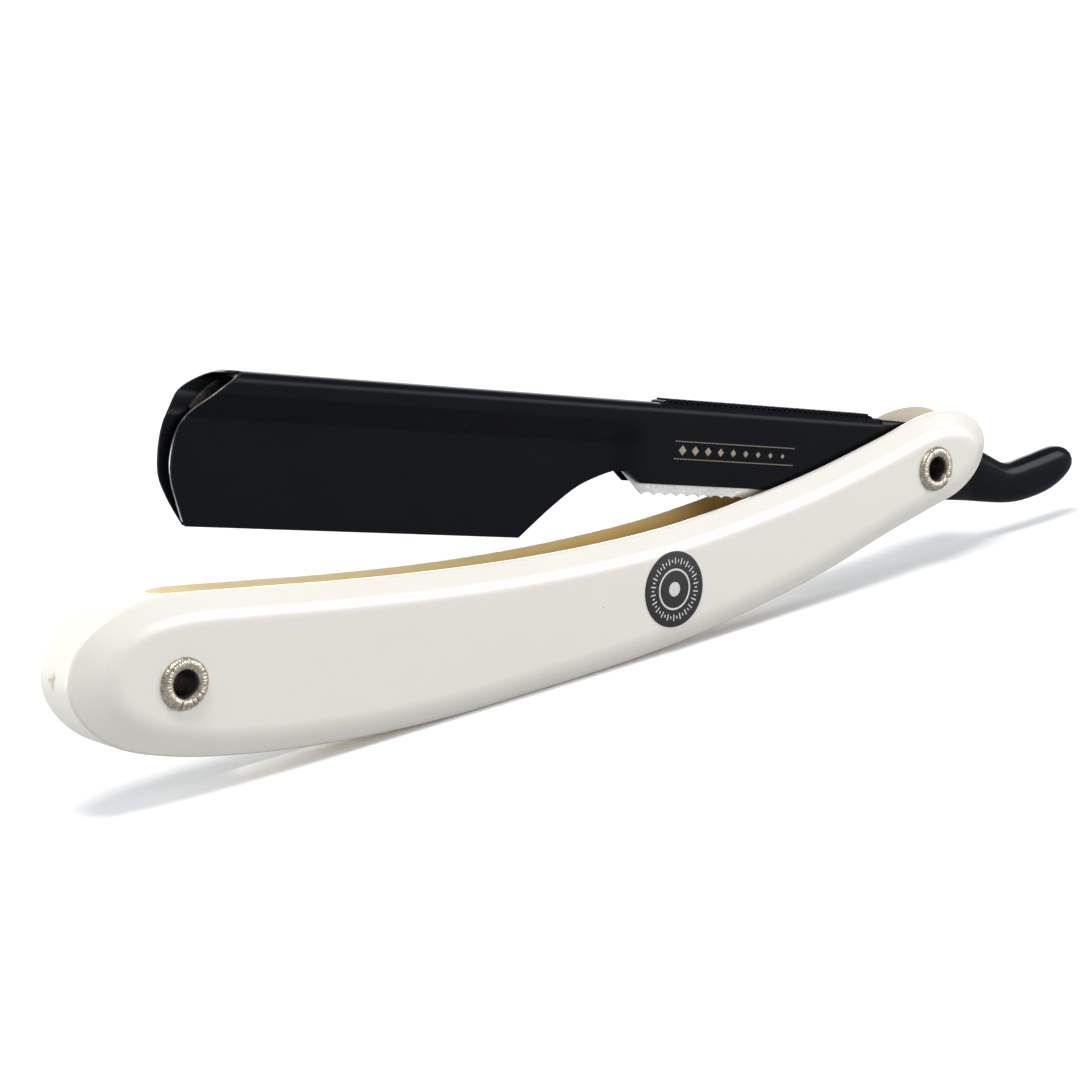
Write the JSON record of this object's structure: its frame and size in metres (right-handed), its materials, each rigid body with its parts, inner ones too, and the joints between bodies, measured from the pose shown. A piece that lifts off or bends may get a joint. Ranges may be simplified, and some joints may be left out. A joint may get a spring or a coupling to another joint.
{
  "type": "straight razor",
  "caption": "Folding straight razor with a forked plastic handle, a hinged steel arm with a folded-sheet blade holder and tail, and a push-out blade carrier.",
  "frame": {"origin": "on the pivot axis, at the middle of the razor's thickness", "axes": "+X from the wedge eyelet towards the arm's tail, along the handle; +Y along the pivot axis, away from the badge; +Z towards the arm's spine"},
  "size_m": [0.1736, 0.012, 0.0481],
  "materials": {
    "handle_plastic": "satin gloss, warm ivory white",
    "badge_print": "satin black print with a white ring",
    "eyelet_metal": "nickel plated brass, lightly crazed where it is rolled",
    "washer_metal": "plain stamped",
    "black_coated_steel": "satin black coating, bright at the edges",
    "bare_steel": "bare stainless sheet"
  },
  "bodies": {
    "handle": {"handle": "handle_plastic", "badge": "badge_print", "wedge_eyelet": "eyelet_metal", "pivot_eyelet": "eyelet_metal", "near_washer": "washer_metal", "far_washer": "washer_metal"},
    "arm": {"holder_shell": "black_coated_steel", "tang": "black_coated_steel"},
    "carrier": {"blade_carrier": "bare_steel"}
  },
  "joints": [
    {"name": "arm_swing", "type": "hinge", "parent": "handle", "child": "arm", "pos_m": [0, 0, 0], "axis": [0, 1, 0], "range_deg": [-7, 220]},
    {"name": "carrier_slide", "type": "slide", "parent": "arm", "child": "carrier", "axis": [-0.9711, 0, 0.2385], "range_m": [0, 0.0015]}
  ]
}
